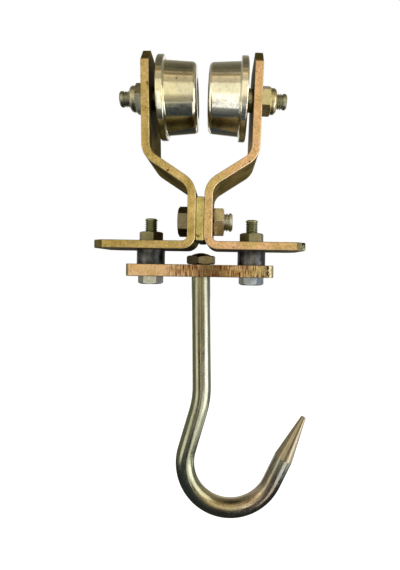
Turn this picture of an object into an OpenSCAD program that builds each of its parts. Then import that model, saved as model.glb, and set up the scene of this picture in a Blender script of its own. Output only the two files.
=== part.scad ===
// Hook trolley: two flanged wheels run on the lower flange of an overhead rail, two bent flat
// bars hang from their axles, and a swivelling point hook hangs from a cross bar below.
// X runs across the rail, Y along it, Z up. The origin lies midway between the wheels,
// on the surface that they run on.

/* [Wheels] */
// Gap between the two wheels, for the rail's web
web_gap = 7; // [6:0.5:10]
// Length of the tread, across the rail
tread_l = 19.8; // [17:0.1:24]
// Diameter of the tread where it meets the flange
tread_flange_d = 46; // [44:0.5:50]
// Diameter of the tread at the wheel's inboard end
tread_end_d = 43.2; // [41:0.1:43.8]
// Diameter of the wheel's flange
flange_d = 52.5; // [52:0.5:60]
// Thickness of the wheel's flange
flange_t = 4.6; // [4:0.1:6]
// Radius of the tread's inboard corner
tread_corner_r = 3; // [1:0.25:4]
// Radius along the flange's two edges
flange_edge_r = 1; // [0.5:0.1:1.6]
// Radius in the corner between tread and flange
tread_root_r = 0.8; // [0.4:0.1:1.2]
// Diameter of the pocket that takes the axle bolt's head
head_pocket_d = 25; // [23:0.5:27]
// Depth from the wheel's inboard end to the bearing
bearing_depth = 9.1; // [8.5:0.1:10.5]

/* [Bearings] */
// Outside diameter of the ball bearing
bearing_d = 30; // [29:0.5:32]
// Width of the ball bearing
bearing_w = 9; // [8:0.5:10]
// Number of balls
ball_count = 8; // [6:1:8]
// Diameter of a ball
ball_d = 4.76; // [4.2:0.02:4.9]
// Outside diameter of the inner race
inner_race_d = 16.6; // [16:0.1:17]
// Radial thickness of the outer race beside its groove
outer_race_t = 3.2; // [3:0.1:3.5]
// Radial thickness of the ball cage
cage_t = 1.4; // [1:0.1:1.8]
// Width of the ball cage
cage_w = 6.2; // [5.8:0.1:6.6]
// Thickness of a bearing shield
shield_t = 0.4; // [0.3:0.05:0.5]
// Depth of a shield's seat in the outer race
shield_seat_l = 0.9; // [0.7:0.05:1]
// Width of the ledge that holds a shield
shield_ledge = 0.9; // [0.6:0.1:1.2]
// Thickness of the retaining ring
circlip_t = 1.2; // [1:0.1:1.5]
// Radial width of the retaining ring
circlip_w = 2.6; // [2:0.1:3]
// Depth of the retaining ring's groove in the wheel
circlip_groove = 0.7; // [0.5:0.1:1]
// Radius of a retaining ring's ear
circlip_ear_r = 1.9; // [1.6:0.1:2.2]
// Diameter of the plier hole in an ear
circlip_hole_d = 1.8; // [1.2:0.1:2]
// Half the angle between the ears
circlip_half_gap = 22; // [18:1:30]

/* [Axles] */
// Thread diameter of the axle bolts
axle_d = 10; // [9:0.5:11]
// Thread pitch of the axle bolts
axle_pitch = 1.5; // [1.25:0.25:1.5]
// Length of the axle bolts below the head
axle_l = 41; // [39:0.5:46]
// Width across flats of the axle bolts and nuts
axle_af = 17; // [16:0.5:18]
// Height of an axle bolt's head
axle_head_h = 6.4; // [5.5:0.1:7]
// Height of the hexagon of an axle nut
axle_nut_h = 7.1; // [6:0.1:8]
// Height of the round collar of an axle nut, which holds the nylon ring
nut_collar_h = 3.6; // [3:0.1:4]
// Outside diameter of an axle nut's collar
nut_collar_d = 16.4; // [15.5:0.1:16.8]
// Height of the nylon ring
nylon_h = 2.2; // [1.8:0.1:2.6]
// Outside diameter of the nylon ring
nylon_d = 13.2; // [12.6:0.1:13.8]
// Outside diameter of the collar between bearing and hanger
collar_d = 15; // [14:0.5:16]
// Gap between the wheel's flange and the hanger
wheel_to_leg = 3.3; // [2:0.1:5]
// Turn of the left and right axle nuts about their bolts
axle_nut_turn = [29, 2]; // [-30:1:30]

/* [Hangers] */
// Thickness of the hangers' flat bar
plate_t = 5; // [4:0.5:6]
// Width of the hangers' flat bar, along the rail
plate_w = 50; // [44:1:56]
// Height of the leg above the axle
leg_top = 24; // [22:0.5:30]
// Size of the cut corners at the top of the leg
leg_chamfer = 10; // [6:0.5:14]
// Outward lean of the leg and axle, in degrees
leg_lean = 1.5; // [0:0.1:2]
// Length of the leg from the axle down to the shoulder bend
leg_l = 35; // [32:0.5:42]
// Angle of the shoulder, from upright
shoulder_angle = 57; // [50:1:65]
// Inside radius of the two shoulder bends
shoulder_r = 9; // [6:0.5:11]
// Depth of the foot's upper face below the running surface
foot_depth = 70.6; // [68:0.2:80]
// Inside radius of the bend at the foot
foot_r = 3.2; // [2.6:0.2:6]
// Reach of the foot from the middle
foot_reach = 64; // [60:0.2:72]
// Size of the cut corners at the end of the foot
foot_chamfer = 6.5; // [4:0.5:10]

/* [Centre clamp] */
// Thickness of the plate between the two hangers
spacer_t = 5; // [4:0.5:6]
// Height of the plate between the two hangers
spacer_h = 26.4; // [24:0.2:27]
// Width of the plate between the two hangers, along the rail
spacer_w = 49; // [40:0.5:50]
// Height of that plate's lower edge above the underside of the feet
spacer_lift = 4.9; // [4:0.1:7]
// Thread diameter of the centre bolt
clamp_d = 12; // [11:0.5:12]
// Thread pitch of the centre bolt
clamp_pitch = 1.75; // [1.5:0.25:1.75]
// Width across flats of the centre bolt and nut
clamp_af = 17; // [16:0.5:19]
// Height of the centre bolt's head
clamp_head_h = 7.5; // [6.5:0.1:8]
// Height of the centre nut
clamp_nut_h = 7; // [6:0.1:8]
// Length of the centre bolt past its nut
clamp_end_l = 5.4; // [3:0.1:8]
// Height of the centre bolt above the feet's upper face
clamp_lift = 13.4; // [13.2:0.2:16]
// Turn of the centre bolt's head and nut about the bolt
clamp_turn = [2, 30]; // [-30:1:30]

/* [Hook bar] */
// Length of the cross bar
bar_l = 90; // [86:1:100]
// Width of the cross bar, along the rail
bar_w = 40; // [32:1:48]
// Thickness of the cross bar
bar_t = 7.5; // [6:0.5:8]
// Radius of the cross bar's corners
bar_corner_r = 4.5; // [2:0.5:8]
// Distance between the two bar bolts
bar_bolt_pitch = 65; // [60:0.5:68]
// Height of the tubes between feet and bar
standoff_h = 9.1; // [8.9:0.1:14]
// Outside diameter of those tubes
standoff_d = 18; // [16:0.5:20]
// Thread diameter of the bar bolts
bar_bolt_d = 8; // [7:0.5:8]
// Thread pitch of the bar bolts
bar_bolt_pitch_t = 1.25; // [1:0.25:1.25]
// Width across flats of the bar bolts and nuts
bar_bolt_af = 14; // [13:0.5:15]
// Height of a bar bolt's head
bar_head_h = 5.3; // [5:0.1:6.5]
// Height of a bar nut
bar_nut_h = 6.5; // [5.5:0.1:8]
// Length of a bar bolt past its nut
bar_bolt_end_l = 8.5; // [4:0.5:12]
// Turn of the left and right bar nuts about their bolts
bar_nut_turn = [-12, 15]; // [-30:1:30]
// Turn of the left and right bar bolts
bar_head_turn = [4, -9]; // [-30:1:30]

/* [Hook] */
// Diameter of the hook's rod
rod_d = 12; // [11:0.5:12]
// Width across flats of the hook's nut
hook_nut_af = 17; // [16:0.5:19]
// Height of the hook's nut
hook_nut_h = 5.6; // [5:0.1:6.4]
// Diameter of the riveted end above the nut
rivet_d = 13.2; // [12.6:0.1:14]
// Height of the riveted end above the nut
rivet_h = 1.8; // [1:0.1:2]
// Angle that the rod is set over towards the point, just below the bar
set_angle = 1.3; // [0.5:0.1:3]
// Centre-line radius of that slight bend
set_r = 30; // [20:1:60]
// Length of straight rod below the bar
rod_l = 69.6; // [60:0.1:100]
// Angle of the bend that swings the rod to the side
neck_angle = 17; // [10:1:24]
// Centre-line radius of that bend
neck_r = 59; // [40:1:70]
// Length of straight rod between that bend and the bowl
neck_l = 25.4; // [14:0.2:34]
// Centre-line radius of the bowl
bowl_r = 29.6; // [24:0.2:38]
// Angle of the point, from upright
point_angle = 25.4; // [15:0.2:35]
// Length of straight rod between the bowl and the point
shank_l = 17.8; // [12:0.2:28]
// Length of the tapered point
point_l = 29.4; // [20:0.2:36]
// Diameter of the point's tip
tip_d = 3.2; // [2:0.1:4]
// Turn of the hook's nut about the rod
hook_nut_turn = 23; // [-30:1:30]

/* [Clearances] */
// Gap round a bolt in a drilled hole
hole_gap = 0.25; // [0.1:0.05:0.5]
// Gap between a nut's bore and its bolt
thread_gap = 0.05; // [0.02:0.01:0.1]
// Gap between a race and what it is pressed in or on
press_gap = 0.01; // [0.005:0.005:0.02]
// Gap between a ball and its races
ball_gap = 0.08; // [0.05:0.01:0.1]
// Gap between a ball and its cage
pocket_gap = 0.12; // [0.1:0.01:0.15]
// Gap between a shield and the inner race
shield_gap = 0.3; // [0.2:0.05:0.4]
// Gap round and under what swivels in the bar
swivel_gap = 0.1; // [0.05:0.01:0.1]
// Gap between the bar's underside and the first bend of the hook's rod
set_gap = 0.5; // [0.3:0.1:1]
// Gap beside the retaining ring in its groove
circlip_gap = 0.1; // [0.05:0.05:0.15]

/* [Hidden] */
$fn = 72;

// How far a cutting tool runs past the face that it cuts
over = 1;
// Number of straight steps that draw a small rounded corner
corner_steps = 6;
// A bend draws its bar this much thinner
bend_thinning = 0.998;
// How far a bend reaches into the straight bar beside it
bend_reach = 0.25;

// Distances along an axle, from the middle of the trolley outwards
wheel_in = web_gap / 2;
flange_in = wheel_in + tread_l;
wheel_out = flange_in + flange_t;
leg_in = wheel_out + wheel_to_leg;
leg_out = leg_in + plate_t;
bearing_in = wheel_in + bearing_depth;
bearing_out = bearing_in + bearing_w;
tread_mid = (wheel_in + flange_in) / 2;

// Height of an axle over the running surface, at the middle of the tread
axle_z = (tread_flange_d + tread_end_d) / 4;

// Bearing sizes that follow from the race and ball sizes
pitch_r = (bearing_d + axle_d) / 4;
outer_race_bore = bearing_d - 2 * outer_race_t;
groove_r = ball_d / 2 + ball_gap;
shield_seat_r = outer_race_bore / 2 + shield_ledge;

// Middle of the flat bar's thickness: at the axle, and at the centre clamp
bar_mid = (leg_in + leg_out) / 2;
leg_x = tread_mid + (bar_mid - tread_mid) * cos(leg_lean);
leg_z = axle_z - (bar_mid - tread_mid) * sin(leg_lean);
neck_x = (spacer_t + plate_t) / 2;
clamp_face = spacer_t / 2 + plate_t;

// Shoulder: its sloping run closes the distance between leg and centre clamp
shoulder_mid_r = shoulder_r + plate_t / 2;
foot_mid_r = foot_r + plate_t / 2;
bends_x = shoulder_mid_r * (cos(leg_lean) - cos(shoulder_angle)) + shoulder_mid_r * (1 - cos(shoulder_angle));
bends_z = shoulder_mid_r * (sin(shoulder_angle) - sin(leg_lean)) + shoulder_mid_r * sin(shoulder_angle);
slope_l = (leg_x - neck_x - leg_l * sin(leg_lean) - bends_x) / sin(shoulder_angle);
neck_z = leg_z - leg_l * cos(leg_lean) - bends_z - slope_l * cos(shoulder_angle);
neck_run = neck_z + foot_depth - foot_r;
foot_run = foot_reach - neck_x - foot_mid_r;

// Heights of the faces below the hangers
foot_under = -foot_depth - plate_t;
bar_top = foot_under - standoff_h;
bar_under = bar_top - bar_t;
clamp_z = clamp_lift - foot_depth;
nut_seat = bar_top + swivel_gap;

// Half a hexagon's size across its corners, from its size across flats
function corner_r(af) = af / 2 / cos(30);

// Points of an arc about [x, y], in equal steps from one angle to another
function arc(x, y, r, from, to) = [
    for (i = [0 : corner_steps])
        let (a = from + (to - from) * i / corner_steps) [x + r * cos(a), y + r * sin(a)]
];

// Puts a piece made about the X axis on the left or right axle
module on_axle(side) {
    rotate([0, 0, side == "left" ? 180 : 0])
        translate([tread_mid, 0, axle_z]) rotate([0, leg_lean, 0]) translate([-tread_mid, 0, 0])
            children();
}

// Turns a piece made about the Z axis, from z = 0 up, to run outwards along the axle from x
module along_axle(x) {
    translate([x, 0, 0]) rotate([0, 90, 0]) children();
}

// Revolves a drawn outline of [distance along the axle, radius]
module turned_on_axle() {
    rotate([90, 0, 90]) rotate_extrude() rotate(90) mirror([0, 1]) children();
}

// A bar bent in one plane: straight runs downwards, each followed by a bend of [radius, angle]
// that turns it towards -X, or towards +X where the angle is negative. A bend may be drawn
// thinner than the straight bar, and then it reaches a short way into the runs beside it.
// The first child is the bar's section and the second, if any, is what ends it.
module bent_bar(runs, bends, thin = 1, reach = 0, i = 0) {
    translate([0, 0, -runs[i]]) linear_extrude(runs[i]) children(0);
    if (i < len(bends)) {
        r = bends[i][0];
        a = bends[i][1];
        side = sign(a);
        reach_a = reach / r * 180 / PI;
        translate([0, 0, -runs[i]]) {
            rotate([0, 0, side > 0 ? 0 : 180]) translate([-r, 0, 0]) rotate([-90, 0, 0])
                rotate(-reach_a) rotate_extrude(angle = abs(a) + 2 * reach_a)
                    translate([r, 0]) scale(thin) children(0);
            translate([side * r * (cos(a) - 1), 0, -r * sin(abs(a))]) rotate([0, a, 0])
                bent_bar(runs, bends, thin, reach, i + 1) {
                    children(0);
                    if ($children > 1) children(1);
                }
        }
    } else if ($children > 1) {
        translate([0, 0, -runs[i]]) children(1);
    }
}

// A hexagon from z = 0 up, its corners chamfered at the top, and at the bottom too for a nut
module hexagon(af, h, both_ends = false) {
    e = corner_r(af);
    face_r = af / 2 * 0.96;
    drop = (e - face_r) * tan(30);
    foot = both_ends ? [[face_r, 0], [e, drop]] : [[e + over, 0], [e + over, h - drop]];
    intersection() {
        cylinder(r = e, h = h, $fn = 6);
        rotate_extrude() polygon(concat([[0, 0]], foot, [[e, h - drop], [face_r, h], [0, h]]));
    }
}

// A threaded rod from z = 0 up: plain to thread_z, then ring grooves, then a chamfered end
module threaded_rod(d, l, thread_z, pitch) {
    depth = pitch * 0.54;
    turns = floor((l - pitch - thread_z) / pitch);
    rotate_extrude() polygon(concat(
        [[0, 0], [d / 2, 0], [d / 2, thread_z]],
        [for (i = [0 : turns - 1]) each [
            [d / 2 - depth, thread_z + pitch * (i + 0.5)],
            [d / 2, thread_z + pitch * (i + 1)]
        ]],
        [[d / 2, l - depth], [d / 2 - depth, l], [0, l]]
    ));
}

// A bolt whose head ends at z = 0 and whose rod runs up
module hex_bolt(d, l, af, head_h, thread_z, pitch) {
    mirror([0, 0, 1]) hexagon(af, head_h);
    threaded_rod(d, l, thread_z, pitch);
}

// A plain nut from z = 0 up
module hex_nut(d, af, h) {
    difference() {
        hexagon(af, h, both_ends = true);
        translate([0, 0, -over]) cylinder(r = d / 2 + thread_gap, h = h + 2 * over);
    }
}

// One hanger, on the right: leg, shoulder, centre plate and foot bent from one flat bar
module hanger_bar() {
    leg_run = leg_top + leg_l;
    translate([leg_x + leg_top * sin(leg_lean), 0, leg_z + leg_top * cos(leg_lean)])
        rotate([0, leg_lean, 0])
            bent_bar(
                [leg_run, slope_l, neck_run, foot_run],
                [
                    [shoulder_mid_r, shoulder_angle - leg_lean],
                    [shoulder_mid_r, -shoulder_angle],
                    [foot_mid_r, -90]
                ],
                [bend_thinning, 1], bend_reach
            )
                square([plate_t, plate_w], center = true);
}

// Cuts two 45 degree corners off the end of a bar that lies in the YZ plane and ends at z = 0
module corner_cut(size) {
    for (side = [-1, 1])
        translate([0, side * plate_w / 2, 0]) rotate([45, 0, 0])
            cube([plate_t + 2 * over, size * sqrt(2), size * sqrt(2)], center = true);
}

module hanger() {
    difference() {
        hanger_bar();
        on_axle("right") along_axle(leg_in - over)
            cylinder(d = axle_d + 2 * hole_gap, h = plate_t + 2 * over);
        translate([leg_x + leg_top * sin(leg_lean), 0, leg_z + leg_top * cos(leg_lean)])
            rotate([0, leg_lean, 0]) corner_cut(leg_chamfer);
        translate([foot_reach, 0, -foot_depth - plate_t / 2]) rotate([0, 90, 0])
            corner_cut(foot_chamfer);
        translate([0, 0, clamp_z]) rotate([0, 90, 0])
            cylinder(d = clamp_d + 2 * hole_gap, h = clamp_face + over);
        translate([bar_bolt_pitch / 2, 0, foot_under - over])
            cylinder(d = bar_bolt_d + 2 * hole_gap, h = plate_t + 2 * over);
    }
}

module left_hanger() {
    color("#b79a52") rotate([0, 0, 180]) hanger();
}

module right_hanger() {
    color("#c9a368") hanger();
}

module centre_spacer() {
    color("#cbbf6c") difference() {
        translate([-spacer_t / 2, -spacer_w / 2, foot_under + spacer_lift])
            cube([spacer_t, spacer_w, spacer_h]);
        translate([-spacer_t / 2 - over, 0, clamp_z]) rotate([0, 90, 0])
            cylinder(d = clamp_d + 2 * hole_gap, h = spacer_t + 2 * over);
    }
}

// The centre bolt's head is on the left and its nut on the right
module centre_bolt() {
    color("#7d7965") translate([-clamp_face, 0, clamp_z]) rotate([0, 90, 0]) rotate(clamp_turn[0])
        hex_bolt(
            clamp_d, 2 * clamp_face + clamp_nut_h + clamp_end_l, clamp_af, clamp_head_h,
            2 * clamp_face, clamp_pitch
        );
}

module centre_nut() {
    color("#9a9076") translate([clamp_face, 0, clamp_z]) rotate([0, 90, 0]) rotate(clamp_turn[1])
        hex_nut(clamp_d, clamp_af, clamp_nut_h);
}

// Outline of the wheel as [distance along the axle, radius], with its rounded corners
module wheel_outline() {
    taper = atan((tread_flange_d - tread_end_d) / 2 / tread_l);
    root = tread_flange_d / 2;
    end_corner = tread_end_d / 2 + tread_corner_r * (tan(taper) - 1 / cos(taper));
    polygon(concat(
        [[wheel_in, 0]],
        arc(wheel_in + tread_corner_r, end_corner, tread_corner_r, 180, 90 + taper),
        arc(flange_in - tread_root_r, root + tread_root_r - tread_root_r * tan(taper), tread_root_r,
            270 + taper, 360),
        arc(flange_in + flange_edge_r, flange_d / 2 - flange_edge_r, flange_edge_r, 180, 90),
        arc(wheel_out - flange_edge_r, flange_d / 2 - flange_edge_r, flange_edge_r, 90, 0),
        [[wheel_out, 0]]
    ));
}

// The wheel, bored for the axle bolt's head, the bearing and the retaining ring
module wheel() {
    bore_r = bearing_d / 2 + press_gap;
    groove_w = circlip_t + 2 * circlip_gap;
    difference() {
        turned_on_axle() wheel_outline();
        along_axle(wheel_in - over) cylinder(d = head_pocket_d, h = bearing_depth + 2 * over);
        along_axle(bearing_in) cylinder(r = bore_r, h = wheel_out - bearing_in + over);
        along_axle(bearing_out) cylinder(r = bearing_d / 2 + circlip_groove, h = groove_w);
    }
}

// A ring of the bearing as [distance along the axle, radius], with the ball groove cut in
module race(in_r, out_r) {
    along_axle(bearing_in) rotate_extrude() difference() {
        translate([in_r, 0]) square([out_r - in_r, bearing_w]);
        translate([pitch_r, bearing_w / 2]) circle(r = groove_r);
    }
}

module inner_race() {
    race(axle_d / 2 + press_gap, inner_race_d / 2);
}

module outer_race() {
    difference() {
        race(outer_race_bore / 2, bearing_d / 2);
        along_axle(bearing_in - over) cylinder(r = shield_seat_r, h = shield_seat_l + over);
        along_axle(bearing_out - shield_seat_l) cylinder(r = shield_seat_r, h = shield_seat_l + over);
    }
}

// Places one child at each ball's centre
module at_balls() {
    for (i = [0 : ball_count - 1])
        translate([bearing_in + bearing_w / 2, 0, 0]) rotate([360 * i / ball_count, 0, 0])
            translate([0, 0, pitch_r]) children();
}

module balls() {
    at_balls() sphere(d = ball_d);
}

module cage() {
    difference() {
        along_axle(bearing_in + (bearing_w - cage_w) / 2) difference() {
            cylinder(r = pitch_r + cage_t / 2, h = cage_w);
            translate([0, 0, -over]) cylinder(r = pitch_r - cage_t / 2, h = cage_w + 2 * over);
        }
        at_balls() sphere(d = ball_d + 2 * pocket_gap);
    }
}

// The two shields sit against the ends of their seats in the outer race
module shields() {
    for (x = [bearing_in + shield_seat_l - shield_t, bearing_out - shield_seat_l])
        along_axle(x) difference() {
            cylinder(r = shield_seat_r - press_gap, h = shield_t);
            translate([0, 0, -over])
                cylinder(r = inner_race_d / 2 + shield_gap, h = shield_t + 2 * over);
        }
}

// The retaining ring: an open ring with an ear and a plier hole at each end
module circlip() {
    out_r = bearing_d / 2 + circlip_groove - circlip_gap;
    in_r = bearing_d / 2 - circlip_w;
    ear_at = in_r - circlip_ear_r / 2;
    along_axle(bearing_out + circlip_gap) linear_extrude(circlip_t) difference() {
        union() {
            difference() {
                circle(r = out_r);
                circle(r = in_r);
                polygon([
                    [0, 0],
                    for (a = [-circlip_half_gap, circlip_half_gap]) 2 * out_r * [cos(a), sin(a)]
                ]);
            }
            for (side = [-1, 1]) rotate(side * circlip_half_gap) translate([ear_at, 0])
                intersection() {
                    translate([0, side * circlip_ear_r / 2])
                        square([4 * circlip_ear_r, circlip_ear_r * 3], center = true);
                    union() {
                        circle(r = circlip_ear_r);
                        translate([0, -circlip_ear_r]) square([circlip_w, 2 * circlip_ear_r]);
                    }
                }
        }
        for (side = [-1, 1]) rotate(side * circlip_half_gap) translate([ear_at, 0])
            circle(d = circlip_hole_d);
    }
}

// The collar that keeps the bearing's inner race off the hanger
module axle_collar() {
    along_axle(bearing_out) difference() {
        cylinder(d = collar_d, h = leg_in - bearing_out);
        translate([0, 0, -over])
            cylinder(d = axle_d + 2 * hole_gap, h = leg_in - bearing_out + 2 * over);
    }
}

module axle_bolt() {
    along_axle(bearing_in)
        hex_bolt(axle_d, axle_l, axle_af, axle_head_h, leg_out - bearing_in, axle_pitch);
}

// Outline of an axle nut's round collar and the groove for its nylon ring, as [radius, height]
module nut_collar_outline() {
    lip_r = nylon_d / 2 - 0.6;
    top = axle_nut_h + nut_collar_h;
    round_r = nut_collar_d / 2 - lip_r;
    polygon(concat(
        [[0, axle_nut_h - over], [nut_collar_d / 2, axle_nut_h - over]],
        arc(nut_collar_d / 2 - round_r, top - round_r, round_r, 0, 90),
        [[0, top]]
    ));
}

// A lock nut: hexagon, round collar and the seat of the nylon ring
module axle_nut(turn) {
    seat = axle_nut_h + nut_collar_h - nylon_h;
    along_axle(leg_out) difference() {
        union() {
            rotate(turn) hexagon(axle_af, axle_nut_h, both_ends = true);
            rotate_extrude() nut_collar_outline();
        }
        translate([0, 0, -over]) cylinder(r = axle_d / 2 + thread_gap, h = seat + 2 * over);
        translate([0, 0, seat]) cylinder(d = nylon_d, h = nylon_h + over);
    }
}

// The nylon ring sits in its seat and grips the bolt
module nylon_ring() {
    along_axle(leg_out + axle_nut_h + nut_collar_h - nylon_h) difference() {
        cylinder(r = nylon_d / 2 - press_gap, h = nylon_h);
        translate([0, 0, -over]) cylinder(r = axle_d / 2 + thread_gap, h = nylon_h + 2 * over);
    }
}

// The wheels and their bearings, one module per sub-part
module left_wheel() {
    color("#c9c7b8") on_axle("left") wheel();
}

module right_wheel() {
    color("#d6d4c4") on_axle("right") wheel();
}

module left_outer_race() {
    color("#b0b2b4") on_axle("left") outer_race();
}

module right_outer_race() {
    color("#b0b2b4") on_axle("right") outer_race();
}

module left_inner_race() {
    color("#a6a8aa") on_axle("left") inner_race();
}

module right_inner_race() {
    color("#a6a8aa") on_axle("right") inner_race();
}

module left_bearing_balls() {
    color("#e0e2e4") on_axle("left") balls();
}

module right_bearing_balls() {
    color("#e0e2e4") on_axle("right") balls();
}

module left_bearing_cage() {
    color("#8a6a3c") on_axle("left") cage();
}

module right_bearing_cage() {
    color("#8a6a3c") on_axle("right") cage();
}

module left_bearing_shields() {
    color("#909498") on_axle("left") shields();
}

module right_bearing_shields() {
    color("#909498") on_axle("right") shields();
}

module left_circlip() {
    color("#3c3d3e") on_axle("left") circlip();
}

module right_circlip() {
    color("#3c3d3e") on_axle("right") circlip();
}

module left_axle_collar() {
    color("#8c8872") on_axle("left") axle_collar();
}

module right_axle_collar() {
    color("#8c8872") on_axle("right") axle_collar();
}

module axle_bolts() {
    color("#8e8d80") for (side = ["left", "right"]) on_axle(side) axle_bolt();
}

module axle_nuts() {
    color("#a59f7c") {
        on_axle("left") axle_nut(axle_nut_turn[0]);
        on_axle("right") axle_nut(axle_nut_turn[1]);
    }
}

module axle_nut_nylons() {
    color("#e6e1cf") for (side = ["left", "right"]) on_axle(side) nylon_ring();
}

// The cross bar, with its two bolt holes and the hole that the hook swivels in
module hook_bar() {
    corner = [bar_l / 2 - bar_corner_r, bar_w / 2 - bar_corner_r];
    color("#d2a06e") translate([0, 0, bar_under]) difference() {
        linear_extrude(bar_t) {
            square([bar_l, bar_w - 2 * bar_corner_r], center = true);
            square([bar_l - 2 * bar_corner_r, bar_w], center = true);
            for (x = [-1, 1], y = [-1, 1])
                translate([x * corner[0], y * corner[1]]) circle(r = bar_corner_r);
        }
        translate([0, 0, -over]) cylinder(r = rod_d / 2 + swivel_gap, h = bar_t + 2 * over);
        for (side = [-1, 1])
            translate([side * bar_bolt_pitch / 2, 0, -over])
                cylinder(d = bar_bolt_d + 2 * hole_gap, h = bar_t + 2 * over);
    }
}

// A tube that keeps a foot and the bar apart
module bar_spacer(side) {
    color("#34353a") translate([side * bar_bolt_pitch / 2, 0, bar_top]) difference() {
        cylinder(d = standoff_d, h = standoff_h);
        translate([0, 0, -over])
            cylinder(d = bar_bolt_d + 2 * hole_gap, h = standoff_h + 2 * over);
    }
}

module left_bar_spacer() {
    bar_spacer(-1);
}

module right_bar_spacer() {
    bar_spacer(1);
}

// The bar bolts come up from below, through bar, tube and foot
module bar_bolts() {
    grip = bar_t + standoff_h + plate_t;
    color("#8f9096") for (i = [0, 1])
        translate([(i - 0.5) * bar_bolt_pitch, 0, bar_under]) rotate(bar_head_turn[i])
            hex_bolt(
                bar_bolt_d, grip + bar_nut_h + bar_bolt_end_l, bar_bolt_af, bar_head_h,
                grip, bar_bolt_pitch_t
            );
}

module bar_nuts() {
    color("#77705a") for (i = [0, 1])
        translate([(i - 0.5) * bar_bolt_pitch, 0, -foot_depth]) rotate(bar_nut_turn[i])
            hex_nut(bar_bolt_d, bar_bolt_af, bar_nut_h);
}

// The hook: its rod runs down from the nut's top through the bar, then bends to bowl and point
module hook_rod() {
    top = nut_seat + hook_nut_h;
    cap_r = (rivet_d * rivet_d / 4 + rivet_h * rivet_h) / (2 * rivet_h);
    color("#a9a487") {
        translate([0, 0, top])
            bent_bar(
                [top - bar_under + set_gap, rod_l, neck_l, shank_l],
                [
                    [set_r, -set_angle],
                    [neck_r, neck_angle],
                    [bowl_r, set_angle + point_angle - neck_angle - 180]
                ],
                bend_thinning, bend_reach
            ) {
                circle(d = rod_d);
                translate([0, 0, -point_l]) cylinder(d1 = tip_d, d2 = rod_d, h = point_l);
            }
        translate([0, 0, top]) intersection() {
            translate([0, 0, rivet_h - cap_r]) sphere(r = cap_r);
            cylinder(r = rivet_d, h = rivet_h + over);
        }
    }
}

module hook_nut() {
    color("#6f6a55") translate([0, 0, nut_seat]) rotate(hook_nut_turn)
        hex_nut(rod_d, hook_nut_af, hook_nut_h);
}

left_hanger();
right_hanger();
centre_spacer();
centre_bolt();
centre_nut();
left_wheel();
right_wheel();
left_outer_race();
right_outer_race();
left_inner_race();
right_inner_race();
left_bearing_balls();
right_bearing_balls();
left_bearing_cage();
right_bearing_cage();
left_bearing_shields();
right_bearing_shields();
left_circlip();
right_circlip();
left_axle_collar();
right_axle_collar();
axle_bolts();
axle_nuts();
axle_nut_nylons();
hook_bar();
left_bar_spacer();
right_bar_spacer();
bar_bolts();
bar_nuts();
hook_rod();
hook_nut();
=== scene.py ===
import math

import bmesh
import bpy
from mathutils import Matrix, Vector


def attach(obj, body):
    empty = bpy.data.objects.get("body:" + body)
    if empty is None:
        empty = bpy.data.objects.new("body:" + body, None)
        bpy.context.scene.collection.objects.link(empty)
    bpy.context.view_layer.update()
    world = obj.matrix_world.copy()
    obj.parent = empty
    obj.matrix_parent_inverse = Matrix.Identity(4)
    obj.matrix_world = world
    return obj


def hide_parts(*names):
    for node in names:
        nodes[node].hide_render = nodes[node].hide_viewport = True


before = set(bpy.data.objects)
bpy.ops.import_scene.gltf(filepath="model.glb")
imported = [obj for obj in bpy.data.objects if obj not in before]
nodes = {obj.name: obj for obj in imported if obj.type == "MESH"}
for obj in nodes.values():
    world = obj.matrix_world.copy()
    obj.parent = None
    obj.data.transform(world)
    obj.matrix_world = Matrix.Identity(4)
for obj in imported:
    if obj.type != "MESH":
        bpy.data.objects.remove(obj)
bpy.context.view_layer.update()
MM = 0.001
X, Y, Z = 0, 1, 2

# Sizes in millimetres and angles in degrees, as in the part's source
WEB_GAP, TREAD_L, FLANGE_T, WHEEL_TO_LEG = 7, 19.8, 4.6, 3.3
TREAD_FLANGE_D, TREAD_END_D = 46, 43.2
PLATE_T, PLATE_W, LEG_TOP, LEG_CHAMFER, LEG_LEAN, LEG_L = 5, 50, 24, 10, 1.5, 35
SHOULDER_ANGLE, SHOULDER_R = 57, 9
FOOT_DEPTH, FOOT_R, FOOT_REACH, FOOT_CHAMFER = 70.6, 3.2, 64, 6.5
SPACER_T, SPACER_H, SPACER_W, SPACER_LIFT = 5, 26.4, 49, 4.9
CLAMP_D, CLAMP_LIFT = 12, 13.4
BAR_L, BAR_W, BAR_T, BAR_CORNER_R, BAR_BOLT_PITCH = 90, 40, 7.5, 4.5, 65
STANDOFF_H, BAR_BOLT_D, AXLE_D, ROD_D = 9.1, 8, 10, 12
ROD_RUNS = (0.5, 69.6, 25.4, 17.8)
SET_R, SET_ANGLE, NECK_R, NECK_ANGLE, BOWL_R, POINT_ANGLE = 30, 1.3, 59, 17, 29.6, 25.4
HOLE_GAP, SWIVEL_GAP = 0.25, 0.1

# Sizes that only the scene has, in millimetres
HANGER_EDGE_R, HANGER_END_R = 0.7, 0.12
BAR_EDGE_R, SPACER_EDGE_R, SPACER_CORNER_R, SMALLEST_CORNER_R = 0.6, 0.85, 0.9, 0.1
CUTTER_L = 12

leg_in = WEB_GAP / 2 + TREAD_L + FLANGE_T + WHEEL_TO_LEG
bar_mid = leg_in + PLATE_T / 2
tread_mid = (WEB_GAP + TREAD_L) / 2
axle_z = (TREAD_FLANGE_D + TREAD_END_D) / 4
lean = math.radians(LEG_LEAN)
leg_x = tread_mid + (bar_mid - tread_mid) * math.cos(lean)
leg_z = axle_z - (bar_mid - tread_mid) * math.sin(lean)
neck_x = (SPACER_T + PLATE_T) / 2
foot_under = -FOOT_DEPTH - PLATE_T
bar_under = foot_under - STANDOFF_H - BAR_T
clamp_z = CLAMP_LIFT - FOOT_DEPTH


# Geometry helpers
def linked(name, data):
    """A new object in the scene."""
    obj = bpy.data.objects.new(name, data)
    bpy.context.scene.collection.objects.link(obj)
    return obj


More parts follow.
